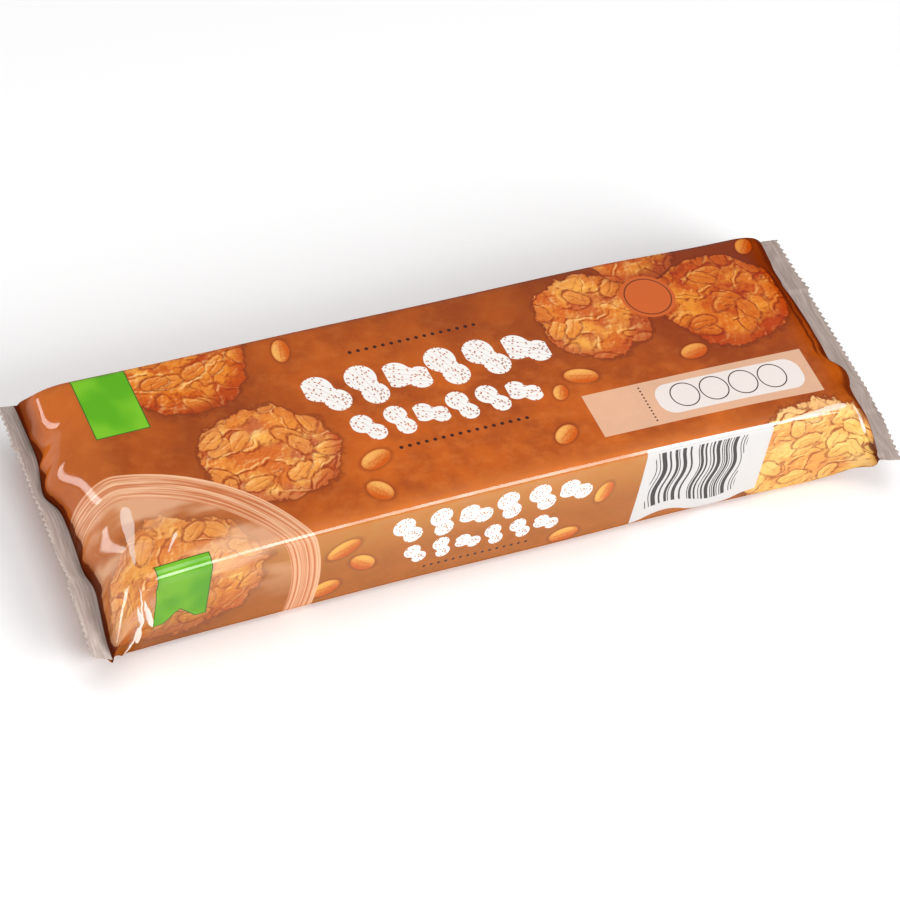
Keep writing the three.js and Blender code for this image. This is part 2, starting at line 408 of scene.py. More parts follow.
def makeFilm():
    # a flat sheet with its own map, rolled round the block and pressed into the fins
    points = wrapPoints()
    along, around, finWay = sheetPlaces(points)
    points = points + sheetNormals(points) * creaseField(along, around, finWay)[:, :, None]
    rowCount, girthCount, _ = points.shape
    deselectAll()
    bpy.ops.mesh.primitive_grid_add(
        x_subdivisions=rowCount - 1, y_subdivisions=girthCount - 1, size=1, calc_uvs=True
    )
    sheet = bpy.context.object
    sheet.name = "film_wrap"
    sheet.data.name = "film_wrap"
    flat = np.empty(len(sheet.data.vertices) * 3)
    sheet.data.vertices.foreach_get("co", flat)
    flat = flat.reshape(-1, 3)
    row = np.rint((flat[:, 0] + 0.5) * (rowCount - 1)).astype(int)
    turn = np.rint((flat[:, 1] + 0.5) * (girthCount - 1)).astype(int)
    # the sheet's middle line lies on the middle of the top
    middleTurn = (girthCount - 1) // 2
    wrapped = (turn + middleTurn) % (girthCount - 1)
    placed = points[row, wrapped]
    low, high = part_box("cookie_pack")
    middle = (placed.max(0) + placed.min(0)) / 2
    millimetre = 0.001
    placed = placed * millimetre
    placed[:, 0] += (low.x + high.x) / 2 - middle[0] * millimetre
    placed[:, 1] += (low.y + high.y) / 2 - middle[1] * millimetre
    placed[:, 2] -= placed[:, 2].min()
    sheet.data.vertices.foreach_set("co", placed.ravel())
    # the map holds true millimetres of film, and finWay tells the material where the fins begin
    sheetG = around[row, wrapped]
    sheetG = np.where(turn == 0, -np.abs(sheetG), np.where(turn == girthCount - 1, np.abs(sheetG), sheetG))
    corner = np.empty(len(sheet.data.loops), dtype=int)
    sheet.data.loops.foreach_get("vertex_index", corner)
    mapped = np.stack([along[row, wrapped], sheetG], axis=1)[corner] / film["mapSpan"] + 0.5
    sheet.data.uv_layers[0].data.foreach_set("uv", mapped.ravel())
    way = sheet.data.attributes.new("finWay", "FLOAT", "POINT")
    way.data.foreach_set("value", finWay[row, wrapped])
    sheet.data.update()
    bpy.ops.object.mode_set(mode="EDIT")
    bpy.ops.mesh.select_all(action="SELECT")
    bpy.ops.mesh.remove_doubles(threshold=1e-6)
    bpy.ops.mesh.normals_make_consistent(inside=False)
    bpy.ops.object.mode_set(mode="OBJECT")
    bpy.ops.object.shade_smooth()
    print("film:", len(sheet.data.vertices), "points,", len(sheet.data.polygons), "faces")
    return sheet


# Print on the film. Places are millimetres on the flat sheet: along the pack, then round it.
# The printed face runs from -38.5 to 38.5 round the sheet, the near side goes on below it.
inks = {
    "ground": (197, 93, 18),
    "groundDark": (160, 69, 13),
    # lighter print mottle, also a painted glow along the near edge, and lighter at the left end
    "groundLightAndGlow": (212, 117, 46),
    # painted shade towards the far right, also laid on darker towards the left
    "groundFarShade": (134, 56, 9),
    # tints for painted light: yellower on the near side, painted shade at its left corner
    "sideLightTint": (244, 250, 216),
    "cornerShadeTint": (222, 208, 196),
    # the near side: a painted glow below the edge, and painted shade towards its foot
    "sideGroundAndGlow": (192, 126, 64),
    "sideFootShade": (160, 86, 6),
    "doughDark": (184, 66, 2),
    "dough": (218, 106, 10),
    "doughLight": (240, 162, 60),
    "crustShade": (112, 38, 4),
    "crustLine": (142, 44, 0),
    "nutDark": (200, 86, 6),
    "nutLight": (238, 150, 50),
    "paleCrumb": (246, 200, 134),
    "shine": (255, 220, 148),
    # painted shade on the far right
    "farShadeTint": (238, 210, 168),
    "looseNut": (238, 174, 90),
    "cream": (240, 236, 232),
    "brownInk": (62, 26, 14),
    "green": (88, 168, 16),
    "greenLight": (118, 188, 34),
    "greenEdge": (52, 92, 30),
    # the tags on the near side take that side's tint for its light
    "tagSideLightTint": (232, 232, 172),
    "field": (214, 146, 90),
    "fieldLine": (196, 108, 62),
    "fieldShine": (240, 192, 152),
    # painted highlight on creases and edges
    "paintedHighlight": (246, 226, 214),
    "band": (240, 204, 172),
    "panel": (230, 220, 216),
    "labelWhite": (206, 203, 201),
    "barInk": (52, 46, 46),
    "badge": (200, 94, 38),
    "fin": (204, 190, 182),
    # painted shade: the right fin greyer than the left
    "finShadeTint": (222, 218, 216),
    "finDark": (176, 161, 153),
    # the dark line at the roots: ink and painted shade in the crease
    "rootInkAndShade": (88, 26, 6),
}

cookies = [
    # middle along, middle round, half length, half width, paleness; later ones lie on earlier ones
    (-79.0, 33.0, 20.0, 19.0, 0.0),
    (-66.0, -6.5, 21.5, 18.5, 0.15),
    (51.0, 17.5, 18.5, 17.5, 0.1),
    (74.0, 40.0, 15.0, 13.0, 0.1),
    (95.0, 13.5, 22.0, 19.0, 0.0),
    (101.0, -54.0, 26.0, 22.0, 0.75),
    (-106.0, -44.0, 27.0, 24.0, 0.2),
]

# How a cookie is drawn: heights in millimetres, scales per millimetre
baking = {
    "raggedness": (0.34, 0.16),
    "doughScale": 0.11,
    "doughHeight": 8.0,
    "foldScale": 0.08,
    "foldHeight": 1.1,
    # two layers of half nuts: shift of the pattern, scale, half length, half width
    "nutLayers": [(0.0, 0.082, 5.2, 2.8), (53.0, 0.07, 4.9, 2.6)],
    "bareCells": 0.28,
    "nutDome": 1.7,
    "nutStep": 1.2,
    "nutHides": 0.55,
    "grooveDepth": 0.35,
    "fineHeight": 0.9,
    "lightStep": (-0.3, 0.45, 0.0),
    "footShift": (1.2, -2.6, 0.0),
    "patternStep": (61.0, 23.0),
}

looseNuts = [
    # middle along, middle round, turn in degrees, half length, half width
    (-37.0, -17.5, 20, 5.4, 3.2),
    (-40.5, -29.0, -50, 4.4, 3.4),
    (36.5, -4.5, -15, 5.6, 3.0),
    (27.5, -9.0, 60, 3.2, 2.4),
    (22.0, -25.0, 35, 4.6, 3.0),
    (75.5, -4.5, 10, 4.8, 2.9),
    (-48.0, 31.0, 75, 4.6, 2.8),
    (-54.5, -49.0, 25, 5.6, 3.2),
    (-47.5, -57.0, -35, 4.8, 3.0),
    (-58.5, -65.0, 15, 5.0, 3.4),
    (20.5, -67.5, 5, 5.0, 3.0),
    (31.0, -52.0, 70, 4.4, 2.8),
    (112.5, 34.0, 50, 4.4, 2.8),
]

marks = {
    # rows of peanut shells: first place along, place round, pitch, count, length, thickness
    "shellRows": [
        (-41.0, 10.5, 13.2, 6, 14.6, 10.0),
        (-34.0, -5.5, 10.2, 6, 10.8, 7.2),
        (-34.0, -48.0, 11.0, 6, 11.0, 7.2),
        (-30.0, -59.5, 8.6, 6, 8.4, 5.4),
        (-34.0, 52.0, 11.0, 7, 11.0, 7.2),
    ],
    "shellTilt": 0.9,
    "shellSway": 0.5,
    # rows of dots: first place along, place round, pitch, count, radius
    "dotRows": [
        (-28.0, 24.5, 2.75, 16, 0.62),
        (-28.0, -15.5, 2.75, 16, 0.62),
        (-26.0, -66.5, 2.4, 15, 0.5),
    ],
    # boxes: middle along, middle round, half length, half width
    "tags": [(-104.5, 25.8, 8.5, 12.2), (-105.0, -48.0, 8.5, 13.5)],
    "tagNotches": [0.0, 5.0],
    "band": (70.8, -20.8, 37.8, 8.6),
    "panel": (80.0, -20.6, 25.0, 5.9),
    "label": (65.0, -54.0, 21.5, 16.0),
    "bars": (62.5, -53.0, 15.7, 12.5),
    "barWidth": 0.33,
    "bareBars": 0.56,
    "fieldMiddle": (-121.0, -60.0),
    "fieldRadius": 60.0,
    "fieldBand": 9.0,
    "rings": [(64.5, -20.2), (74.6, -20.2), (84.7, -20.2), (94.8, -20.2)],
    "ringRadius": 4.6,
    # a row of dots across the strip: first place round, place along, pitch, count, radius
    "bandDots": (-27.55, 51.5, 1.35, 11, 0.32),
    "badge": (71.5, 20.5, 8.8),
    "badgeRing": 1.3,
    # painted highlights where creases at the two near corners and along the near edge catch the light:
    # start, stop, half width near the stop, strength
    "paintedHighlights": [
        (-119.2, -37.5, -122.0, -71.0, 0.3, 0.95),
        (-121.2, -42.5, -118.2, -65.5, 1.6, 0.9),
        (-118.9, -43.0, -113.6, -60.5, 1.1, 0.95),
        (-118.3, -31.5, -113.8, -12.0, 2.7, 0.5),
        (-107.5, -31.0, -103.0, -25.0, 0.5, 0.7),
        (86.0, -38.8, 113.0, -36.2, 1.5, 0.6),
        (116.0, -36.2, 119.2, -45.5, 0.9, 0.85),
    ],
}

# Painted light and shade on the print, and where the dark root lines lie. A pair says where a shade starts
# and where it is full, in millimetres.
shading = {
    # painted shade: the ground darkens towards the far right, where less light falls
    "far": (-25.0, 75.0),
    "farLean": 0.35,
    "farShadeStrength": 0.78,
    # ink, way along x or round y, start, full, strength: darker towards the left, lighter at the left end,
    # and a painted glow towards the near edge
    "ground": [
        ("groundFarShade", "x", -35.0, -90.0, 0.35),
        ("groundLightAndGlow", "x", -106.0, -116.0, 0.35),
        ("groundLightAndGlow", "y", -29.0, -38.0, 0.6),
    ],
    # painted light down the near side, from the shaded foot to the glow below the edge
    "sideFootShade": (-60.0, -40.0),
    # patches of painted shade: along, then round the sheet
    "farRightShade": ((40.0, 90.0), (-22.0, 10.0)),
    "farLeftCornerShade": ((-100.0, -108.0), (25.0, 36.0)),
    "nearLeftShade": ((-84.0, -108.0), (-38.0, -48.0)),
    "nearLeftShadeStrength": 0.3,
    # strips round the sheet: one edge, then the other
    # where the near side's painted glow and shade lie
    "nearSideLight": ((-37.0, -41.0), (-80.0, -72.0)),
    "nearRight": ((-38.0, -43.0), (-53.0, -49.0)),
    "folded": ((-17.0, -13.0), (26.0, 20.0)),
    # the near side's tint for its light starts below the edge
    "belowEdge": (-36.0, -42.0),
    "seam": (108.0, 74.0),
    "right": (100.0, 108.0),
    "top": (44.0, 36.0),
    "fin": (0.1, 0.5),
    # the dark line at the roots, partly ink and partly painted shade, by the distance past a fin's root
    "rootWobble": 4.0,
    "nearShift": 3.0,
    "lowShift": -2.0,
    "lowRight": (-50.0, -54.0),
    # painted shade where the film turns down at the right end
    "turningShade": (-15.8, -12.6),
    "turningShadeStrength": (0.12, 0.82),
    # middle, soft and hard half width, strength
    "foldShadeLine": (-16.5, 1.1, 0.4, 0.8),
    "farLeftRootShade": (-13.0, -5.0, 0.7),
    "rootShadeLines": [(-5.5, -1.5, 0.35), (-2.5, -1.9, 0.9)],
}

# Surface of the film
finish = {
    "roughness": 0.2,
    "smear": 0.14,
    "finRoughness": 0.14,
    "wrinkle": 0.9,
    "pimple": 0.05,
    "rib": 0.02,
    "ribPitch": 1.1,
    "coat": 0.76,
    "coatLoss": 0.73,
    "coatRoughness": 0.085,
    "coatIor": 1.5,
    "finDull": 0.85,
    "rootDull": (-7.0, -3.0),
    "rightDull": (-27.0, -19.0),
    "grazing": (0.48, 0.7),
    "grazingLoss": 0.92,
    "edgeWidth": (5.0, 2.5),
    "edgeShine": (0.05, 0.25),
}


def linear(colour):
    # sRGB 0 to 255 to the linear values that sockets take
    parts = [c / 255 for c in colour]
    return tuple(c / 12.92 if c <= 0.04045 else ((c + 0.055) / 1.055) ** 2.4 for c in parts) + (1.0,)


def ink(name):
    return linear(inks[name])


class Bench:
    # adds nodes to one tree; every call gives back the output of the node it made
    def __init__(self, tree):
        self.tree = tree

    def feed(self, socket, value):
        if isinstance(value, bpy.types.NodeSocket):
            self.tree.links.new(value, socket)
        else:
            socket.default_value = value

    def add(self, kind, **settings):
        node = self.tree.nodes.new(kind)
        for name, setting in settings.items():
            setattr(node, name, setting)
        return node

    def math(self, operation, *values):
        node = self.add("ShaderNodeMath", operation=operation)
        for socket, value in zip(node.inputs, values):
            self.feed(socket, value)
        return node.outputs[0]

    def times(self, product, *others):
        for value in others:
            product = self.math("MULTIPLY", product, value)
        return product

    def plus(self, first, second):
        return self.math("ADD", first, second)

    def minus(self, first, second):
        return self.math("SUBTRACT", first, second)

    def flip(self, value):
        return self.math("SUBTRACT", 1.0, value)

    def scaled(self, value, factor, added):
        return self.math("MULTIPLY_ADD", value, factor, added)

    def larger(self, first, second):
        return self.math("MAXIMUM", first, second)

    def absolute(self, value):
        return self.math("ABSOLUTE", value)

    def vector(self, operation, *values):
        node = self.add("ShaderNodeVectorMath", operation=operation)
        for socket, value in zip(node.inputs, values):
            self.feed(socket, value)
        return node.outputs["Value" if operation in ("LENGTH", "DISTANCE", "DOT_PRODUCT") else "Vector"]

    def apart(self, first, second):
        return self.vector("SUBTRACT", first, second)

    def moved(self, vector, step):
        return self.vector("ADD", vector, step)

    def stretched(self, vector, factors):
        return self.vector("MULTIPLY", vector, factors)

    def distance(self, vector, s, g):
        return self.vector("DISTANCE", vector, (s, g, 0.0))

    def ellipse(self, local, halfLong, halfWide):
        # 0 in the middle and 1 on the rim
        return self.vector("LENGTH", self.stretched(local, (1 / halfLong, 1 / halfWide, 0)))

    def grown(self, vector, factor):
        node = self.add("ShaderNodeVectorMath", operation="SCALE")
        self.feed(node.inputs[0], vector)
        self.feed(node.inputs["Scale"], factor)
        return node.outputs["Vector"]

    def turned(self, vector, angle):
        node = self.add("ShaderNodeVectorRotate", rotation_type="Z_AXIS")
        self.feed(node.inputs["Vector"], vector)
        self.feed(node.inputs["Angle"], angle)
        return node.outputs["Vector"]

    def split(self, vector):
        node = self.add("ShaderNodeSeparateXYZ")
        self.feed(node.inputs[0], vector)
        return node.outputs[0], node.outputs[1]

    def join(self, x, y):
        node = self.add("ShaderNodeCombineXYZ")
        self.feed(node.inputs[0], x)
        self.feed(node.inputs[1], y)
        return node.outputs[0]

    def ramp(self, value, low, high):
        # 0 below low and 1 above high, eased between; low may be the larger one
        node = self.add("ShaderNodeMapRange", interpolation_type="SMOOTHSTEP")
        for socket, given in zip(node.inputs, (value, low, high)):
            self.feed(socket, given)
        return node.outputs[0]

    def near(self, value, soft, hard, centre=0.0):
        # 1 within hard of the centre, 0 beyond soft
        gap = self.minus(value, centre) if centre else value
        return self.ramp(self.absolute(gap), soft, hard)

    def crisp(self, distance, bleed=0.08):
        # inside a printed edge
        return self.ramp(distance, bleed, -bleed)

    def mix(self, factor, first, second, blend="MIX"):
        node = self.add("ShaderNodeMix", data_type="RGBA", blend_type=blend)
        for socket, value in zip((node.inputs[0], node.inputs[6], node.inputs[7]), (factor, first, second)):
            self.feed(socket, value)
        return node.outputs[2]

    def laid(self, colour, name, *shares, blend="MIX"):
        # one ink over a colour, as strong as the product of the shares
        return self.mix(self.times(*shares), colour, ink(name), blend)

    def choose(self, factor, first, second):
        node = self.add("ShaderNodeMix", data_type="VECTOR")
        for socket, value in zip((node.inputs[0], node.inputs[4], node.inputs[5]), (factor, first, second)):
            self.feed(socket, value)
        return node.outputs[1]

    def noise(self, vector, scale, detail=3.0, rough=0.5, colour=False):
        node = self.add("ShaderNodeTexNoise", noise_dimensions="2D")
        self.feed(node.inputs["Vector"], vector)
        node.inputs["Scale"].default_value = scale
        node.inputs["Detail"].default_value = detail
        node.inputs["Roughness"].default_value = rough
        return node.outputs[1 if colour else 0]

    def wobble(self, vector, scale, reach):
        # the vector, pushed about by slow noise
        chance = self.apart(self.noise(vector, scale, 2.0, colour=True), (0.5, 0.5, 0.5))
        return self.moved(vector, self.stretched(chance, (reach, reach, 0.0)))

    def cells(self, vector, scale):
        node = self.add("ShaderNodeTexVoronoi", voronoi_dimensions="2D", feature="F1")
        self.feed(node.inputs["Vector"], vector)
        node.inputs["Scale"].default_value = scale
        return node.outputs

    def use(self, group, **values):
        node = self.add("ShaderNodeGroup", node_tree=group)
        for name, value in values.items():
            self.feed(node.inputs[name], value)
        return node.outputs


def newGroup(name, inputs, outputs):
    tree = bpy.data.node_groups.new(name, "ShaderNodeTree")
    for label, kind in inputs.items():
        tree.interface.new_socket(label, in_out="INPUT", socket_type="NodeSocket" + kind)
    for label, kind in outputs.items():
        tree.interface.new_socket(label, in_out="OUTPUT", socket_type="NodeSocket" + kind)
    bench = Bench(tree)
    given = tree.nodes.new("NodeGroupInput").outputs
    made = tree.nodes.new("NodeGroupOutput").inputs
    return bench, given, made


def boxGroup():
    # distance to the edge of a box with round corners, negative inside it
    inputs = {"Sheet": "Vector", "Middle": "Vector", "Half": "Vector", "Corner": "Float"}
    bench, given, made = newGroup("boxDistance", inputs, {"Distance": "Float"})
    corner = given["Corner"]
    away = bench.vector("ABSOLUTE", bench.apart(given["Sheet"], given["Middle"]))
    past = bench.apart(away, bench.apart(given["Half"], bench.join(corner, corner)))
    outward = bench.vector("MAXIMUM", bench.stretched(past, (1, 1, 0)), (0, 0, 0))
    inside = bench.math("MINIMUM", bench.larger(*bench.split(past)), 0.0)
    distance = bench.plus(bench.vector("LENGTH", outward), inside)
    bench.feed(made["Distance"], bench.minus(distance, corner))
    return bench.tree


def boxEdge(bench, box, sheet, spot, corner=0.0):
    s, g, halfLong, halfWide = spot
    middle, half = (s, g, 0), (halfLong, halfWide, 0)
    return bench.use(box, Sheet=sheet, Middle=middle, Half=half, Corner=corner)["Distance"]


def reliefGroup():
    # how high the pictured cookie stands: wrinkled dough with half nuts pressed into it
    outputs = {"Height": "Float", "Nut": "Float", "Tone": "Float", "Line": "Float", "Dough": "Float"}
    bench, given, made = newGroup("cookieRelief", {"Place": "Vector"}, outputs)
    place = given["Place"]
    warped = bench.wobble(place, 0.24, 2.0)
    dough = bench.noise(warped, baking["doughScale"])
    fold = bench.minus(bench.noise(bench.moved(warped, (31.0, 17.0, 0.0)), baking["foldScale"], 1.5), 0.5)
    ridge = bench.near(fold, 0.055, 0.0)
    height = bench.scaled(ridge, baking["foldHeight"], bench.times(dough, baking["doughHeight"]))
    line = bench.times(bench.near(fold, 0.016, 0.0, -0.05), 0.9)
    nut, tone = 0.0, 0.0
    for shift, scale, halfLong, halfWide in baking["nutLayers"]:
        shifted = bench.moved(warped, (shift, shift * 0.7, 0))
        cell = bench.cells(shifted, scale)
        red, green = bench.split(cell["Color"])
        local = bench.turned(bench.apart(shifted, cell["Position"]), bench.times(red, 2 * math.pi))
        ring = bench.ellipse(local, halfLong, halfWide)
        dome = bench.math("SQRT", bench.larger(bench.flip(bench.times(ring, ring)), 0.0))
        groove = bench.times(bench.near(bench.split(local)[1], 0.45, 0.0), bench.ramp(ring, 0.9, 0.5))
        # some places stay without a nut
        present = bench.math("GREATER_THAN", green, baking["bareCells"])
        mask = bench.times(bench.ramp(ring, 1.02, 0.92), present)
        clear = bench.flip(mask)
        # a nut hides what lies under it, so its own dome takes over there
        under = bench.times(height, bench.scaled(mask, -baking["nutHides"], 1.0))
        step = bench.times(mask, baking["nutStep"])
        lift = bench.scaled(bench.times(dome, present), baking["nutDome"], step)
        sunk = bench.times(groove, present, baking["grooveDepth"])
        height = bench.plus(under, bench.minus(lift, sunk))
        outline = bench.times(bench.ramp(ring, 1.22, 1.04), bench.ramp(ring, 0.88, 1.0))
        edge = bench.times(bench.larger(outline, bench.times(groove, 0.4)), present)
        line = bench.larger(bench.times(line, clear), edge)
        nut = bench.larger(mask, nut)
        tone = bench.scaled(tone, clear, bench.times(mask, green))
    height = bench.scaled(bench.noise(place, 0.5, 3.0, 0.55), baking["fineHeight"], height)
    for label, value in zip(outputs, (height, nut, tone, line, dough)):
        bench.feed(made[label], value)
    return bench.tree


def cookieGroup():
    # one pictured cookie: relief lit from the far left, browned towards its rim
    inputs = {"Place": "Vector", "Rim": "Float", "Foot": "Float", "Pale": "Float"}
    bench, given, made = newGroup("cookiePicture", inputs, {"Colour": "Color"})
    place, rim, pale = given["Place"], given["Rim"], given["Pale"]
    relief = reliefGroup()
    here = bench.use(relief, Place=place)
    lit = bench.use(relief, Place=bench.moved(place, baking["lightStep"]))
    shade = bench.minus(here["Height"], lit["Height"])
    patch = bench.noise(place, 0.07)
    speck = bench.noise(place, 0.55, 4.0, 0.65)
    ripe = bench.scaled(pale, 0.1, here["Dough"])
    colour = bench.mix(bench.ramp(ripe, 0.38, 0.62), ink("doughDark"), ink("doughLight"))
    colour = bench.laid(colour, "dough", bench.ramp(patch, 0.38, 0.6), 0.65)
    nuts = bench.mix(bench.plus(here["Tone"], pale), ink("nutDark"), ink("nutLight"))
    colour = bench.mix(bench.times(here["Nut"], 0.8), colour, nuts)
    colour = bench.laid(colour, "doughDark", bench.ramp(speck, 0.46, 0.3), 0.3)
    # the rim is toasted, most on the side away from the light
    footToast = bench.times(bench.ramp(given["Foot"], 0.78, 1.06), 0.9)
    toasted = bench.larger(bench.times(bench.ramp(rim, 0.72, 1.0), 0.45), footToast)
    colour = bench.laid(colour, "doughDark", toasted)
    strawy = bench.scaled(here["Nut"], 0.15, 0.4)
    strawy = bench.scaled(bench.ramp(patch, 0.62, 0.36), 0.6, strawy)
    colour = bench.laid(colour, "paleCrumb", pale, bench.math("MINIMUM", strawy, 1.0))
    colour = bench.laid(colour, "crustLine", bench.ramp(shade, -0.05, -0.9), 0.75)
    colour = bench.laid(colour, "shine", bench.ramp(shade, 0.02, 0.9), bench.scaled(toasted, -0.4, 0.52))
    drawn = bench.scaled(bench.ramp(speck, 0.4, 0.6), 0.45, 0.4)
    colour = bench.laid(colour, "crustLine", here["Line"], drawn)
    colour = bench.laid(colour, "crustShade", bench.ramp(rim, 0.965, 0.99), 0.75)
    bench.feed(made["Colour"], colour)
    return bench.tree


def shellGroup():
    # a peanut in its shell, drawn flat: two lobes and a waist, with worn specks
    inputs = {"Place": "Vector", "Long": "Float", "Thick": "Float"}
    bench, given, made = newGroup("shellMark", inputs, {"Mask": "Float"})
    place, thick = given["Place"], given["Thick"]
    lobes = []
    for offset, size in ((-0.25, 0.5), (0.25, 0.43)):
        middle = bench.join(bench.times(given["Long"], offset), 0.0)
        lobes.append(bench.minus(bench.vector("DISTANCE", place, middle), bench.times(thick, size)))
    edge = bench.math("SMOOTH_MIN", *lobes, bench.times(thick, 0.22))
    cell = bench.cells(bench.stretched(place, (0.8, 1.25, 1.0)), 0.95)
    rare = bench.math("GREATER_THAN", bench.split(cell["Color"])[0], 0.55)
    speck = bench.times(bench.ramp(cell["Distance"], 0.3, 0.2), rare)
    net = bench.math("SINE", bench.times(bench.split(place)[1], 3.4))
    groove = bench.times(bench.ramp(net, 0.9, 1.0), bench.ramp(edge, -0.7, -1.2), 0.4)
    worn = bench.larger(speck, groove)
    bench.feed(made["Mask"], bench.times(bench.crisp(edge, 0.1), bench.flip(worn)))
    return bench.tree


def flameGroup():
    # a thin flame for a painted highlight: a point at its start, widest near its stop
    inputs = {"Sheet": "Vector", "Start": "Vector", "Stop": "Vector", "Wide": "Float"}
    bench, given, made = newGroup("highlightFlame", inputs, {"Mask": "Float"})
    line = bench.apart(given["Stop"], given["Start"])
    away = bench.apart(given["Sheet"], given["Start"])
    along, whole = (bench.vector("DOT_PRODUCT", step, line) for step in (away, line))
    share = bench.math("DIVIDE", along, whole)
    held = bench.math("MINIMUM", bench.larger(share, 0.0), 1.0)
    gap = bench.vector("LENGTH", bench.apart(away, bench.grown(line, held)))
    closing = bench.math("SQRT", bench.flip(bench.math("POWER", held, 6.0)))
    half = bench.times(bench.scaled(given["Wide"], held, 0.12), closing)
    inside = bench.ramp(bench.minus(gap, half), 0.18, -0.14)
    bench.feed(made["Mask"], bench.times(inside, bench.ramp(share, -0.02, 0.1)))
    return bench.tree


def softPatch(bench, zone, name):
    # a part of the sheet with soft edges along and round it
    along, around = shading[name]
    return bench.times(bench.ramp(zone["x"], *along), bench.ramp(zone["y"], *around))


def softStrip(bench, zone, name):
    # a strip along the whole sheet with two soft edges
    first, second = shading[name]
    return bench.times(bench.ramp(zone["y"], *first), bench.ramp(zone["y"], *second))


def addGround(bench, sheet, zone):
    # printed clouds; painted shade darkens the far right, the ground is darker towards the left and lighter
    # at the left end, and a painted glow lightens it towards the near edge
    cloud = bench.noise(sheet, 0.03, 6.0, 0.62)
    mottle = bench.noise(bench.stretched(sheet, (1.0, 1.3, 1.0)), 0.16, 5.0, 0.6)
    colour = bench.mix(bench.ramp(cloud, 0.36, 0.66), ink("groundDark"), ink("ground"))
    colour = bench.laid(colour, "groundLightAndGlow", bench.ramp(mottle, 0.42, 0.75), 0.35)
    away = bench.ramp(bench.scaled(zone["x"], shading["farLean"], zone["y"]), *shading["far"])
    # painted shade towards the far right
    colour = bench.laid(colour, "groundFarShade", away, zone["fromSeam"], shading["farShadeStrength"])
    # darker towards the left, lighter at the left end, and a painted glow towards the near edge
    for name, way, start, full, strength in shading["ground"]:
        colour = bench.laid(colour, name, bench.ramp(zone[way], start, full), strength)
    # painted light on the near side: a glow just below the edge, giving way to painted shade towards the
    # foot
    side = bench.mix(bench.ramp(zone["y"], *shading["sideFootShade"]), ink("sideFootShade"), ink("sideGroundAndGlow"))
    share = bench.scaled(bench.ramp(mottle, 0.35, 0.7), 0.25, 0.65)
    return bench.mix(bench.times(share, softStrip(bench, zone, "nearSideLight")), colour, side)


def addCookies(bench, sheet, colour):
    # every point is given to the cookie on top there, so one picture group serves them all
    slowShare, fineShare = baking["raggedness"]
    slow = bench.minus(bench.noise(sheet, 0.09, 2.0), 0.5)
    fine = bench.minus(bench.noise(sheet, 0.45, 3.0, 0.6), 0.5)
    ragged = bench.plus(bench.times(slow, slowShare), bench.times(fine, fineShare))
    stepS, stepG = baking["patternStep"]
    place, rim, foot, pale, shadow, covered = (0.0, 0.0, 0.0), 0.0, 0.0, 0.0, 0.0, 0.0
    for number, (s, g, halfLong, halfWide, paleness) in enumerate(cookies):
        local = bench.apart(sheet, (s, g, 0.0))
        ring = bench.plus(bench.ellipse(local, halfLong, halfWide), ragged)
        footRing = bench.ellipse(bench.moved(local, baking["footShift"]), halfLong, halfWide)
        inside = bench.ramp(ring, 1.0, 0.985)
        onTop = bench.math("GREATER_THAN", inside, 0.5)
        notTop = bench.flip(onTop)
        place = bench.choose(onTop, place, bench.moved(local, (number * stepS, number * stepG, 0.0)))
        rim = bench.scaled(rim, notTop, bench.times(ring, onTop))
        foot = bench.scaled(foot, notTop, bench.times(footRing, onTop))
        pale = bench.scaled(pale, notTop, bench.times(onTop, paleness))
        cast = bench.times(bench.ramp(footRing, 1.5, 1.0), 0.4)
        cast = bench.larger(bench.ramp(ring, 1.1, 0.98), cast)
        shadow = bench.times(bench.larger(shadow, cast), bench.flip(inside))
        covered = bench.larger(covered, inside)
    picture = bench.use(cookieGroup(), Place=place, Rim=rim, Foot=foot, Pale=pale)["Colour"]
    colour = bench.mix(covered, colour, picture)
    return bench.laid(colour, "crustShade", shadow, 0.7)


def addNuts(bench, sheet, colour):
    place, covered, shadow = (0.0, 0.0, 0.0), 0.0, 0.0
    for s, g, turn, halfLong, halfWide in looseNuts:
        local = bench.turned(bench.apart(sheet, (s, g, 0.0)), math.radians(-turn))
        unit = bench.stretched(local, (1 / halfLong, 1 / halfWide, 0))
        reach = bench.vector("LENGTH", unit)
        inside = bench.ramp(reach, 1.0, 0.93)
        place = bench.choose(bench.math("GREATER_THAN", inside, 0.5), place, unit)
        covered = bench.larger(covered, inside)
        shadow = bench.larger(shadow, bench.ramp(reach, 1.35, 0.95))
    along, across = bench.split(place)
    lit = bench.plus(bench.scaled(along, -0.25, across), bench.noise(sheet, 1.3, 3.0, 0.6))
    body = bench.mix(bench.ramp(lit, -0.3, 1.4), ink("nutDark"), ink("looseNut"))
    seam = bench.times(bench.near(across, 0.16, 0.03), bench.near(along, 0.85, 0.5))
    body = bench.laid(body, "nutDark", seam, 0.5)
    body = bench.laid(body, "nutDark", bench.ramp(bench.vector("LENGTH", place), 0.72, 1.0), 0.5)
    colour = bench.laid(colour, "crustShade", shadow, 0.45)
    return bench.mix(covered, colour, body)


def addPaintedLightTints(bench, zone, colour):
    # painted light and shade: the far right is tinted browner as painted shade, the near side yellower for
    # the light that falls on it, and its left corner darker as painted shade
    farRightShade = bench.times(softPatch(bench, zone, "farRightShade"), zone["fromSeam"])
    nearSideLight = bench.times(bench.ramp(zone["y"], *shading["belowEdge"]), zone["fromSeam"])
    nearLeftShade = softPatch(bench, zone, "nearLeftShade")
    for name, share in (("farShadeTint", farRightShade), ("sideLightTint", nearSideLight), ("cornerShadeTint", nearLeftShade)):
        colour = bench.laid(colour, name, share, blend="MULTIPLY")
    return bench.laid(colour, "sideFootShade", nearLeftShade, shading["nearLeftShadeStrength"])


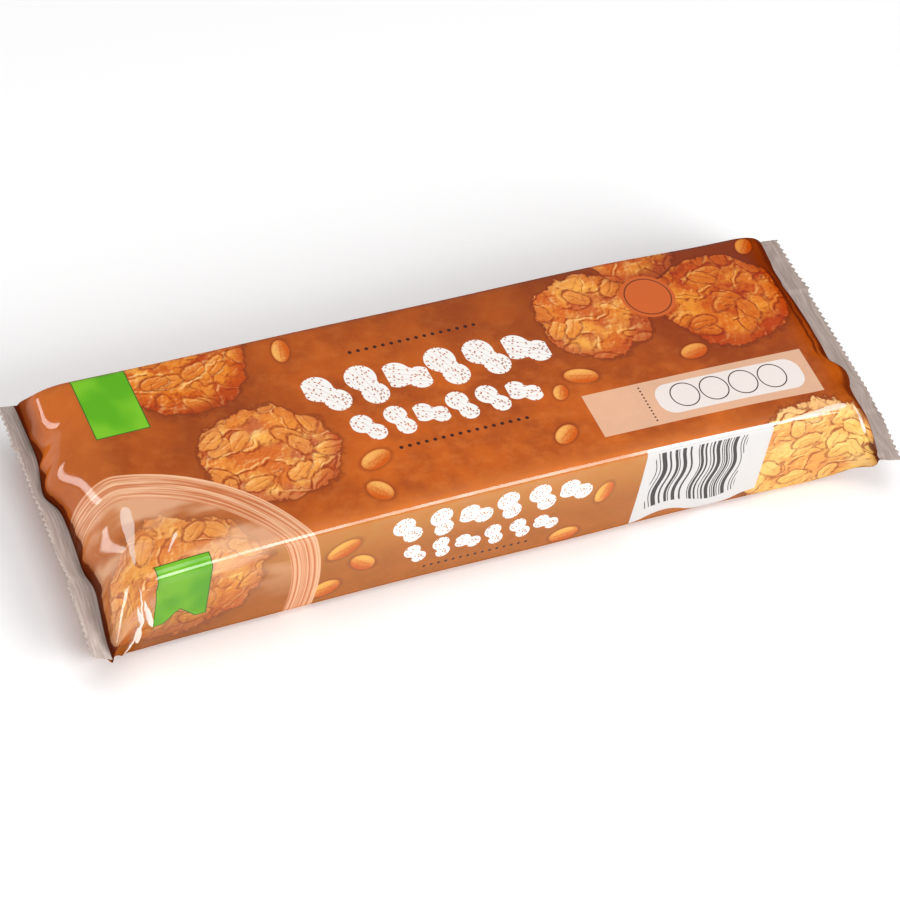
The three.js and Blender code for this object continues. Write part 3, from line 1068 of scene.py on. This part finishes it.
def addField(bench, sheet, zone, colour):
    # pale see-through corner with a lined border, as a plain arc
    s, g = marks["fieldMiddle"]
    radius = marks["fieldRadius"]
    reach = bench.distance(sheet, s, g)
    sweep = bench.noise(bench.stretched(sheet, (0.35, 1.0, 1.0)), 0.07)
    pale = bench.mix(bench.ramp(sweep, 0.42, 0.62), ink("field"), ink("fieldShine"))
    strength = bench.scaled(bench.ramp(sweep, 0.4, 0.62), 0.4, 0.2)
    strength = bench.times(strength, bench.ramp(zone["y"], -72.0, -30.0))
    clear = bench.mix(strength, colour, pale)
    grain = bench.join(bench.times(reach, 1.3), bench.times(zone["x"], 0.03))
    lines = bench.noise(grain, 1.0, 3.0, 0.6)
    lined = bench.mix(bench.ramp(lines, 0.36, 0.66), ink("fieldLine"), ink("fieldShine"))
    fromBorder = bench.minus(reach, radius - marks["fieldBand"])
    clear = bench.mix(bench.times(bench.ramp(fromBorder, -0.2, 0.2), 0.8), clear, lined)
    fromRim = bench.minus(reach, radius)
    clear = bench.laid(clear, "fieldShine", bench.ramp(fromRim, -0.9, -0.3), 0.6)
    return bench.mix(bench.crisp(fromRim, 0.1), colour, clear)


def addPaintedHighlights(bench, sheet, colour):
    # painted highlights: pale flames where the creased film and the near edge catch the light
    flame = flameGroup()
    loose = bench.wobble(sheet, 0.14, 1.6)
    for startS, startG, stopS, stopG, wide, strength in marks["paintedHighlights"]:
        start, stop = (startS, startG, 0), (stopS, stopG, 0)
        mask = bench.use(flame, Sheet=loose, Start=start, Stop=stop, Wide=wide)["Mask"]
        colour = bench.laid(colour, "paintedHighlight", mask, strength)
    return colour


def addTags(bench, sheet, zone, box, colour):
    # green tags; the one that hangs over the near edge ends in a notch
    shade = bench.ramp(bench.noise(sheet, 0.05, 2.0), 0.35, 0.65)
    green = bench.mix(shade, ink("green"), ink("greenLight"))
    # where a tag hangs down the near side it takes the side's yellow tint for the light there
    green = bench.laid(green, "tagSideLightTint", bench.ramp(zone["y"], -36.0, -40.0), blend="MULTIPLY")
    for spot, depth in zip(marks["tags"], marks["tagNotches"]):
        s, g, _, halfWide = spot
        distance = boxEdge(bench, box, sheet, spot)
        if depth:
            notch = bench.minus(depth, bench.absolute(bench.minus(zone["x"], s)))
            notch = bench.minus(notch, bench.minus(zone["y"], g - halfWide))
            distance = bench.larger(distance, bench.times(notch, 0.7))
        plain = bench.laid(green, "greenEdge", bench.ramp(distance, -0.45, -0.2))
        colour = bench.mix(bench.crisp(distance), colour, plain)
    return colour


def inRow(bench, sheet, start, level, pitch, count):
    # place inside one member of a row, its number, and whether the row has such a member
    x, y = bench.split(sheet)
    steps = bench.math("DIVIDE", bench.minus(x, start - pitch / 2), pitch)
    number = bench.math("FLOOR", steps)
    localX = bench.times(bench.minus(bench.minus(steps, number), 0.5), pitch)
    inside = bench.math("COMPARE", number, (count - 1) / 2, count / 2 - 0.1)
    return bench.join(localX, bench.minus(y, level)), number, inside


def dotRow(bench, sheet, row):
    *spots, radius = row
    place, _, inside = inRow(bench, sheet, *spots)
    fromRim = bench.minus(bench.vector("LENGTH", place), radius)
    return bench.times(bench.crisp(fromRim, 0.1), inside)


def addBand(bench, sheet, zone, box, colour):
    # pale see-through strip with a plain white panel and four thin rings
    for name, corner, share in (("band", 0.0, 0.62), ("panel", 5.0, 0.95)):
        edge = boxEdge(bench, box, sheet, marks[name], corner)
        colour = bench.laid(colour, name, bench.crisp(edge), share)
    dots = dotRow(bench, bench.join(zone["y"], zone["x"]), marks["bandDots"])
    ringEdge = 9.0
    for s, g in marks["rings"]:
        away = bench.minus(bench.distance(sheet, s, g), marks["ringRadius"])
        ringEdge = bench.math("MINIMUM", ringEdge, away)
    return bench.laid(colour, "brownInk", bench.larger(dots, bench.near(ringEdge, 0.28, 0.1)))


def addLabel(bench, zone, box, colour):
    # white label with bars of chance widths; its foot waves with the loose film
    x, y = zone["x"], zone["y"]
    _, g, _, halfWide = marks["label"]
    wave = bench.times(bench.math("SINE", bench.times(x, 0.2)), bench.ramp(y, g, g - halfWide))
    wavy = bench.join(x, bench.scaled(wave, 2.2, y))
    edge = boxEdge(bench, box, wavy, marks["label"], 0.4)
    colour = bench.laid(colour, "labelWhite", bench.crisp(edge))
    sway = bench.math("SINE", bench.scaled(y, 0.34, bench.times(x, 0.05)))
    column = bench.math("DIVIDE", bench.scaled(sway, 0.9, x), marks["barWidth"])
    chance = bench.add("ShaderNodeTexWhiteNoise", noise_dimensions="1D")
    bench.feed(chance.inputs["W"], bench.math("FLOOR", column))
    bar = bench.math("GREATER_THAN", chance.outputs["Value"], marks["bareBars"])
    return bench.laid(colour, "barInk", bar, bench.crisp(boxEdge(bench, box, wavy, marks["bars"])))


def addMarks(bench, sheet, colour):
    # badge, rows of peanut shells and rows of dots
    s, g, radius = marks["badge"]
    fromRim = bench.minus(bench.distance(sheet, s, g), radius)
    colour = bench.laid(colour, "badge", bench.crisp(fromRim))
    colour = bench.laid(colour, "brownInk", bench.near(fromRim, 0.3, 0.12, -marks["badgeRing"]), 0.8)
    shell = shellGroup()
    for *spots, length, thick in marks["shellRows"]:
        place, number, inside = inRow(bench, sheet, *spots)
        sway = bench.math("SINE", bench.times(number, 2.3))
        turned = bench.turned(place, bench.scaled(sway, marks["shellSway"], marks["shellTilt"]))
        mark = bench.use(shell, Place=turned, Long=length, Thick=thick)["Mask"]
        colour = bench.laid(colour, "cream", mark, inside)
    for row in marks["dotRows"]:
        colour = bench.laid(colour, "brownInk", dotRow(bench, sheet, row))
    return colour


def addRoots(bench, sheet, zone, colour):
    # the print ends at the fins, which are bare pearl film, in a dark line that is partly ink and partly
    # painted shade in the crease at the root
    finWay = zone["finWay"]
    toRoot = bench.scaled(bench.noise(sheet, 0.13), shading["rootWobble"], finWay)
    # the line lies further back at the near right corner and closer to the root below it
    low = bench.times(bench.ramp(zone["y"], *shading["lowRight"]), shading["lowShift"])
    shift = bench.scaled(softStrip(bench, zone, "nearRight"), shading["nearShift"], low)
    toRoot = bench.scaled(shift, zone["onRight"], toRoot)
    # painted shade on the right, where the film turns down early and away from the light, with a second
    # fold behind the middle of the top
    folded = softStrip(bench, zone, "folded")
    strength = bench.scaled(folded, *shading["turningShadeStrength"])
    turningShade = bench.times(bench.ramp(toRoot, *shading["turningShade"]), strength)
    middle, soft, hard, share = shading["foldShadeLine"]
    foldShadeLine = bench.times(bench.near(toRoot, soft, hard, middle), folded, share)
    colour = bench.laid(colour, "rootInkAndShade", bench.larger(turningShade, foldShadeLine), zone["rightTop"])
    # painted shade where the film folds into the fin at the far left corner
    start, full, share = shading["farLeftRootShade"]
    farLeftCornerShade = softPatch(bench, zone, "farLeftCornerShade")
    colour = bench.laid(colour, "rootInkAndShade", bench.ramp(toRoot, start, full), farLeftCornerShade, share)
    for start, full, share in shading["rootShadeLines"]:
        colour = bench.laid(colour, "rootInkAndShade", bench.ramp(toRoot, start, full), share)
    grain = bench.join(bench.times(finWay, 0.9), bench.times(zone["y"], 0.08))
    streak = bench.noise(grain, 1.0, 4.0, 0.6)
    pearl = bench.mix(bench.ramp(streak, 0.25, 0.75), ink("finDark"), ink("fin"))
    # painted shade: the right fin is made greyer than the left, for how the light falls on the two fins
    pearl = bench.laid(pearl, "finShadeTint", bench.ramp(zone["x"], -60.0, 60.0), blend="MULTIPLY")
    return bench.mix(zone["onFin"], colour, pearl)


def setSurface(bench, shader, sheet, zone):
    finWay, onFin = zone["finWay"], zone["onFin"]
    wrinkle = bench.noise(bench.stretched(sheet, (1.0, 0.55, 1.0)), 0.09, 4.0)
    pimple = bench.times(bench.noise(sheet, 0.8, 2.0), finish["pimple"])
    height = bench.scaled(wrinkle, finish["wrinkle"], pimple)
    ribs = bench.math("SINE", bench.times(finWay, 2 * math.pi / finish["ribPitch"]))
    height = bench.plus(height, bench.times(ribs, onFin, finish["rib"]))
    bumpNode = bench.add("ShaderNodeBump")
    bumpNode.inputs["Strength"].default_value = 0.5
    bumpNode.inputs["Distance"].default_value = 0.001
    bench.feed(bumpNode.inputs["Height"], height)
    bench.feed(shader.inputs["Normal"], bumpNode.outputs[0])
    smear = bench.scaled(bench.noise(sheet, 0.3, 4.0, 0.6), finish["smear"], finish["roughness"])
    bench.feed(shader.inputs["Roughness"], bench.scaled(onFin, finish["finRoughness"], smear))
    # the coat fades out towards the roots, early on the right
    dull = bench.larger(bench.times(onFin, finish["finDull"]), bench.ramp(finWay, *finish["rootDull"]))
    dull = bench.larger(dull, bench.times(zone["rightTop"], bench.ramp(finWay, *finish["rightDull"])))
    coat = bench.scaled(dull, -finish["coatLoss"], finish["coat"])
    # seen at a flat angle the loose film scatters the softboxes instead of mirroring them
    facing = bench.add("ShaderNodeLayerWeight").outputs["Facing"]
    scatter = bench.scaled(bench.ramp(facing, *finish["grazing"]), -finish["grazingLoss"], 1.0)
    bench.feed(shader.inputs["Coat Weight"], bench.times(coat, scatter))
    # the film is stretched over the near edge and shines there more in some places than in others
    least, more = finish["edgeShine"]
    onEdge = bench.near(zone["y"], *finish["edgeWidth"], -film["width"] / 2)
    uneven = bench.scaled(bench.ramp(bench.noise(sheet, 0.05, 2.0), 0.35, 0.65), more, least)
    bench.feed(shader.inputs["Coat IOR"], bench.scaled(onEdge, uneven, finish["coatIor"]))
    shader.inputs["Coat Roughness"].default_value = finish["coatRoughness"]
    shader.inputs["IOR"].default_value = 1.5
    shader.inputs["Specular IOR Level"].default_value = 0.0


def filmMaterial():
    paint = bpy.data.materials.new("printed_film")
    paint.use_nodes = True
    bench = Bench(paint.node_tree)
    shader = paint.node_tree.nodes["Principled BSDF"]
    mapNode = bench.add("ShaderNodeUVMap", uv_map="UVMap")
    span = film["mapSpan"]
    sheet = bench.stretched(bench.apart(mapNode.outputs[0], (0.5, 0.5, 0.0)), (span, span, 0.0))
    finWay = bench.add("ShaderNodeAttribute", attribute_name="finWay").outputs["Fac"]
    x, y = bench.split(sheet)
    onRight = bench.ramp(x, *shading["right"])
    fromMiddle = bench.absolute(y)
    zone = {
        "x": x,
        "y": y,
        "finWay": finWay,
        "onFin": bench.ramp(finWay, *shading["fin"]),
        "onRight": onRight,
        "rightTop": bench.times(onRight, bench.ramp(fromMiddle, *shading["top"])),
        # both edges of the sheet meet in the back seam with the same colour
        "fromSeam": bench.ramp(fromMiddle, *shading["seam"]),
    }
    box = boxGroup()
    colour = addGround(bench, sheet, zone)
    colour = addCookies(bench, sheet, colour)
    colour = addNuts(bench, sheet, colour)
    colour = addPaintedLightTints(bench, zone, colour)
    colour = addField(bench, sheet, zone, colour)
    colour = addPaintedHighlights(bench, sheet, colour)
    colour = addTags(bench, sheet, zone, box, colour)
    colour = addBand(bench, sheet, zone, box, colour)
    colour = addLabel(bench, zone, box, colour)
    colour = addMarks(bench, sheet, colour)
    colour = addRoots(bench, sheet, zone, colour)
    bench.feed(shader.inputs["Base Color"], colour)
    setSurface(bench, shader, sheet, zone)
    print("print:", len(paint.node_tree.nodes), "nodes")
    return paint


# Camera and studio. Places in metres.
view = {
    "focalPixels": 3650.8,
    "photoWidth": 900,
    "sensor": 36.0,
    "place": (-0.40560, -0.61416, 0.85006),
    "right": (0.90722575, -0.39371763, 0.14808059),
    "up": (0.21505959, 0.73668549, 0.64112702),
}

studio = {
    "floorSize": 6,
    "floorPaint": (0.97, 0.97, 0.97, 1),
    "worldStrength": 0.42,
    # place, target, size, watts
    "softboxes": {
        "overhead": ((-0.2, 0.0, 1.3), (0, 0, 0), (0.9, 0.9), 6.2),
        "front": ((0.36, -0.77, 0.56), (0, 0, 0), (0.6, 0.5), 8.0),
        "left": ((-0.944, 0.177, 0.126), (-0.12, 0, 0.02), (0.8, 0.13), 3.2),
    },
}


def makeCamera():
    bpy.ops.object.camera_add(location=view["place"])
    camera = bpy.context.object
    right = Vector(view["right"]).normalized()
    up = Vector(view["up"])
    up = (up - up.dot(right) * right).normalized()
    turn = Matrix((right, up, right.cross(up))).transposed()
    camera.matrix_world = Matrix.Translation(view["place"]) @ turn.to_4x4()
    camera.data.sensor_width = view["sensor"]
    camera.data.lens = view["focalPixels"] * view["sensor"] / view["photoWidth"]
    camera.data.clip_end = 20
    bpy.context.scene.camera = camera
    print("camera:", round(camera.data.lens, 1), "mm")


def makeFloor():
    deselectAll()
    bpy.ops.mesh.primitive_plane_add(size=studio["floorSize"], location=(0, 0, -0.0002))
    floor = bpy.context.object
    floor.name = "floor"
    paint = bpy.data.materials.new("floor_white")
    paint.use_nodes = True
    shader = paint.node_tree.nodes["Principled BSDF"]
    shader.inputs["Base Color"].default_value = studio["floorPaint"]
    shader.inputs["Roughness"].default_value = 0.9
    floor.data.materials.append(paint)


def makeLights():
    world = bpy.data.worlds.new("studio")
    bpy.context.scene.world = world
    world.use_nodes = True
    background = world.node_tree.nodes["Background"]
    background.inputs["Color"].default_value = (1, 1, 1, 1)
    background.inputs["Strength"].default_value = studio["worldStrength"]
    for name, (place, target, size, watts) in studio["softboxes"].items():
        bpy.ops.object.light_add(type="AREA", location=place)
        lamp = bpy.context.object
        lamp.name = name
        lamp.data.shape = "RECTANGLE"
        lamp.data.size, lamp.data.size_y = size
        lamp.data.energy = watts
        aim = Vector(target) - Vector(place)
        lamp.rotation_euler = aim.to_track_quat("-Z", "Y").to_euler()
    bpy.context.scene.view_settings.view_transform = "Standard"
    print("lights:", len(studio["softboxes"]))


filmWrap = makeFilm()
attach(filmWrap, "root")
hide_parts("cookie_pack")
filmWrap.data.materials.clear()
filmWrap.data.materials.append(filmMaterial())
makeCamera()
makeFloor()
makeLights()
